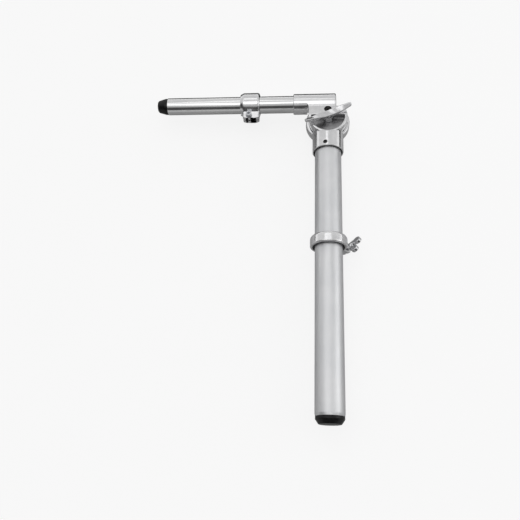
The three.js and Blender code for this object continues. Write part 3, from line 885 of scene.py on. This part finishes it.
def build_tubes():
    leg_low, leg_high = LEG_TUBE[0][1], LEG_TUBE[1][1]
    tube("leg_tube", "y", (0, 0, 0), LEG_R, LEG_WALL, leg_low, leg_high, FOOT_BAND)
    end_plug("leg_foot_plug", "y", (0, 0, 0), LEG_R, LEG_WALL, leg_low, FOOT_PLUG)
    arm_low, arm_high = ARM_TUBE[0][0], ARM_TUBE[1][0]
    tube("arm_tube", "x", (0, ARM_Y, 0), ARM_R, ARM_WALL, arm_low, arm_high)
    plug_x = corners("arm_end_plug")[0][0]
    end_plug("arm_end_plug", "x", (plug_x, ARM_Y, 0), ARM_R, ARM_WALL, arm_low - plug_x,
             ARM_PLUG)


def washer(node, axis, at, inner, outer, low, high):
    edge = 0.15
    lathed(node, [(outer, low, edge), (outer, high, edge), (inner, high, edge), (inner, low, edge)],
           axis, at, sides=72)


def build_knuckle():
    skinned("knuckle_leg_half", leg_half_field, 0.7, leg_half_shade)
    skinned("knuckle_arm_half", arm_half_field, 0.6, arm_half_shade)
    skinned("wing_lever", lever_field, 0.5)
    low, high = corners("lever_washer")
    washer("lever_washer", "z", PIVOT, BOLT["r"] + GAP, high[0], low[2], high[2])
    skinned("pivot_bolt", pivot_bolt_field, 0.35)
    key_top = corners("disc_key_screw")[1][2]
    key_at = (0, PIVOT[1] + KEY["y"], 0)
    skinned("disc_key_screw", lambda p: socket_screw_field(
        p, key_at, key_top, KEY["head_r"], KEY["head"], 2.0, key_top - 4.2, 4.0, False), 0.28)
    grub_top = corners("socket_grub_screw")[1][2]
    grub_at = (GRUB["x"], PIVOT[1] + GRUB["y"], 0)
    skinned("socket_grub_screw", lambda p: socket_screw_field(
        p, grub_at, grub_top, GRUB["r"], 1.4, GRUB["r"], 0.6, 2.5, False), 0.18)


def build_collars():
    leg_total = collar_length("leg_collar", 1)
    arm_total = collar_length("arm_collar", 0)
    skinned("leg_collar", collar_field(LEG_COLLAR, "leg", LEG_R, leg_total), 0.5,
            collar_bore_shade("leg", LEG_COLLAR, LEG_R))
    skinned("arm_collar", collar_field(ARM_COLLAR, "arm", ARM_R, arm_total), 0.5,
            collar_bore_shade("arm", ARM_COLLAR, ARM_R))
    skinned("leg_collar_wing_bolt", wing_bolt_field, 0.3)
    arm_seat = ARM_COLLAR["half"] + 1 + 2 * GAP
    skinned("arm_collar_screw", lambda p: socket_screw_field(
        p, ARM_SCREW, arm_seat + 4.5, 4.2, 4.5, SCREW_R, 15.2, 4.0), 0.28)
    leg_nut = -LEG_COLLAR["half"] - NUT["leg"] - GAP
    skinned("leg_collar_nut", nut_field("leg", leg_nut, leg_nut + NUT["leg"]), 0.28)
    arm_nut = -ARM_COLLAR["half"] + 0.2
    skinned("arm_collar_nut", nut_field("arm", arm_nut, arm_nut + NUT["arm"]), 0.28)


# The CAD nodes that stay: inside the object or nearly hidden.
KEPT = ["friction_disc", "release_spring", "sleeve_pin", "leg_collar_liner", "arm_collar_liner",
        "leg_collar_washer", "arm_collar_washer"]


def dress_kept_nodes():
    for node in KEPT:
        thing = frame["nodes"][node]
        thing.data.materials.clear()
        thing.data.materials.append(MATERIALS[SLOTS[node]])


build_tubes()
build_knuckle()
build_collars()
dress_kept_nodes()

# ---------------------------------------------------------------- floor, lights and camera


def glow(s, color):
    emission = s.node("ShaderNodeEmission")
    emission.inputs["Color"].default_value = color
    return emission.outputs["Emission"]


def mixed_with(s, factor, share, first, second):
    """Mixes two surfaces; the second one's share is factor times share."""
    mix = s.node("ShaderNodeMixShader")
    s.link(s.math("MULTIPLY", factor, share), mix.inputs["Fac"])
    s.link(first, mix.inputs[1])
    s.link(second, mix.inputs[2])
    return mix.outputs["Shader"]


def floor_with_painted_shade(s):
    """What polished metal finds on the floor: light grey, with painted shadow along the leg and to the left of the
    knuckle, and painted dark reflection beyond the arm."""
    split = s.node("ShaderNodeSeparateXYZ")
    s.link(s.place, split.inputs["Vector"])
    x, y = split.outputs["X"], split.outputs["Y"]
    sideways = s.math("ABSOLUTE", x)
    # Painted shade for mirror rays: shadow along the leg and left of the knuckle, dark reflection beyond the arm.
    left = s.spread(x, 1.0, 0.0, -0.07, -0.02)
    by_knuckle = s.spread(y, 0.0, 1.0, 0.34, 0.38)
    leg_shadow = s.math("MULTIPLY", s.spread(sideways, 0.22, 0.0, 0.05, 0.16),
                    s.spread(y, 1.0, 0.0, 0.43, 0.45))
    dark_beyond_arm = s.spread(y, 0.0, 1.0, 0.485, 0.51)
    left_shadow = s.math("MULTIPLY", s.math("MULTIPLY", left, by_knuckle), 0.35)
    painted_darkness = s.math("MAXIMUM", s.math("MAXIMUM", leg_shadow, dark_beyond_arm), left_shadow)
    # The ramp runs from light grey to near-black painted shade.
    ramp = s.node("ShaderNodeValToRGB")
    ramp.color_ramp.elements[0].color = (0.70, 0.70, 0.70, 1)
    ramp.color_ramp.elements[1].color = (0.08, 0.08, 0.08, 1)
    s.link(painted_darkness, ramp.inputs["Fac"])
    found = s.node("ShaderNodeBsdfDiffuse")
    s.link(ramp.outputs["Color"], found.inputs["Color"])
    return found.outputs["BSDF"]


def build_floor():
    """A large pale floor just under the object; mirror rays find it greyer, with painted shade."""
    low = START_BOUNDS[0][2] - 0.0005
    half = 12.0
    mesh = bpy.data.meshes.new("floor")
    mesh.from_pydata([(-half, -half, low), (half, -half, low), (half, half, low),
                      (-half, half, low)], [], [(0, 1, 2, 3)])
    floor = bpy.data.objects.new("floor", mesh)
    bpy.context.scene.collection.objects.link(floor)
    s = Shader("floor")
    grain = s.noise(0.01, 3)
    s.tint(grain, (0.93, 0.93, 0.93), (0.95, 0.95, 0.95))
    s.rough(grain, 0.85, 0.95)
    s.surface.inputs["Specular IOR Level"].default_value = 0.0
    path = s.node("ShaderNodeLightPath")
    lifted = mixed_with(s, path.outputs["Is Camera Ray"], 0.80, s.surface.outputs["BSDF"],
                        glow(s, (1.03, 1.03, 1.03, 1)))
    # Mirror rays find the floor's painted shade.
    mirrored = mixed_with(s, path.outputs["Is Glossy Ray"], 1.0, lifted, floor_with_painted_shade(s))
    s.link(mirrored, s.tree.nodes["Material Output"].inputs["Surface"])
    floor.data.materials.append(s.material)


# Brightness of the studio by height on the camera's side and on the far side: (sine of the
# elevation above the horizon, brightness). Ramps hold half of it, and the strength doubles it.
NEAR_SIDE = [(0.0, 0.70), (0.06, 0.40), (0.12, 0.06), (0.62, 0.06), (0.72, 0.42), (0.925, 0.56),
             (0.945, 1.20), (0.985, 1.20), (1.0, 0.62)]
FAR_SIDE = [(0.0, 1.00), (0.15, 0.90), (0.35, 0.64), (0.70, 0.64), (0.92, 0.58), (0.945, 0.14),
            (0.990, 0.14), (1.0, 0.62)]
WORLD_STRENGTH = 2.0
# Over this much to each side of straight up, the near side passes into the far one.
SIDE_BLEND = 0.12

# Metres, radians and millimetres of lens.
CAMERA = dict(place=(-0.02493, -0.06977, 0.730), yaw=0.2365, tilt=0.3815, roll=-0.2153, lens=39.8,
              sensor=36.0)


def build_world():
    """A bright studio with dark bands for the polished metal to mirror."""
    world = bpy.data.worlds.new("studio")
    bpy.context.scene.world = world
    world.use_nodes = True
    tree = world.node_tree
    place = tree.nodes.new("ShaderNodeTexCoord")
    split = tree.nodes.new("ShaderNodeSeparateXYZ")
    tree.links.new(place.outputs["Generated"], split.inputs["Vector"])
    sides = []
    for stops in (NEAR_SIDE, FAR_SIDE):
        ramp = tree.nodes.new("ShaderNodeValToRGB")
        elements = ramp.color_ramp.elements
        elements[0].position = stops[0][0]
        elements[1].position = stops[-1][0]
        for position, _ in stops[1:-1]:
            elements.new(position)
        for element, (_, value) in zip(elements, stops):
            grey = value / WORLD_STRENGTH
            element.color = (grey, grey, grey, 1)
        tree.links.new(split.outputs["Z"], ramp.inputs["Fac"])
        sides.append(ramp.outputs["Color"])
    which = tree.nodes.new("ShaderNodeMapRange")
    which.inputs["From Min"].default_value = -SIDE_BLEND
    which.inputs["From Max"].default_value = SIDE_BLEND
    tree.links.new(split.outputs["Y"], which.inputs["Value"])
    mix = tree.nodes.new("ShaderNodeMix")
    mix.data_type = "RGBA"
    tree.links.new(which.outputs["Result"], mix.inputs["Factor"])
    tree.links.new(sides[0], mix.inputs["A"])
    tree.links.new(sides[1], mix.inputs["B"])
    path = tree.nodes.new("ShaderNodeLightPath")
    pale = tree.nodes.new("ShaderNodeMix")
    pale.data_type = "RGBA"
    tree.links.new(path.outputs["Is Camera Ray"], pale.inputs["Factor"])
    tree.links.new(mix.outputs["Result"], pale.inputs["A"])
    pale.inputs["B"].default_value = (0.5, 0.5, 0.5, 1)
    background = tree.nodes["Background"]
    background.inputs["Strength"].default_value = WORLD_STRENGTH
    tree.links.new(pale.outputs["Result"], background.inputs["Color"])


def area_light(name, place, aim, size, power):
    light = bpy.data.lights.new(name, "AREA")
    light.shape = "RECTANGLE"
    light.size, light.size_y = size
    light.energy = power
    lamp = bpy.data.objects.new(name, light)
    bpy.context.scene.collection.objects.link(lamp)
    lamp.location = place
    lamp.rotation_euler = (Vector(aim) - Vector(place)).to_track_quat("-Z", "Y").to_euler()


def build_camera():
    """The camera looks down at the flat-lying object from the foot's side, a little turned."""
    camera = bpy.data.objects.new("camera", bpy.data.cameras.new("camera"))
    bpy.context.scene.collection.objects.link(camera)
    turn = Matrix.Rotation(CAMERA["yaw"], 4, "Z") @ Matrix.Rotation(CAMERA["tilt"], 4, "X")
    turn = turn @ Matrix.Rotation(CAMERA["roll"], 4, "Z")
    camera.matrix_world = Matrix.Translation(CAMERA["place"]) @ turn
    camera.data.lens = CAMERA["lens"]
    camera.data.sensor_width = CAMERA["sensor"]
    bpy.context.scene.camera = camera


def set_view():
    scene = bpy.context.scene
    scene.view_settings.view_transform = "Standard"
    scene.view_settings.look = "None"
    scene.view_settings.exposure = 0.0


build_floor()
build_world()
area_light("overhead", (-0.5, 0.6, 2.2), (-0.05, 0.25, 0), (2.4, 1.6), 6)
area_light("side", (1.8, 0.2, 1.0), (0, 0.25, 0), (1.6, 1.2), 5)
build_camera()
set_view()
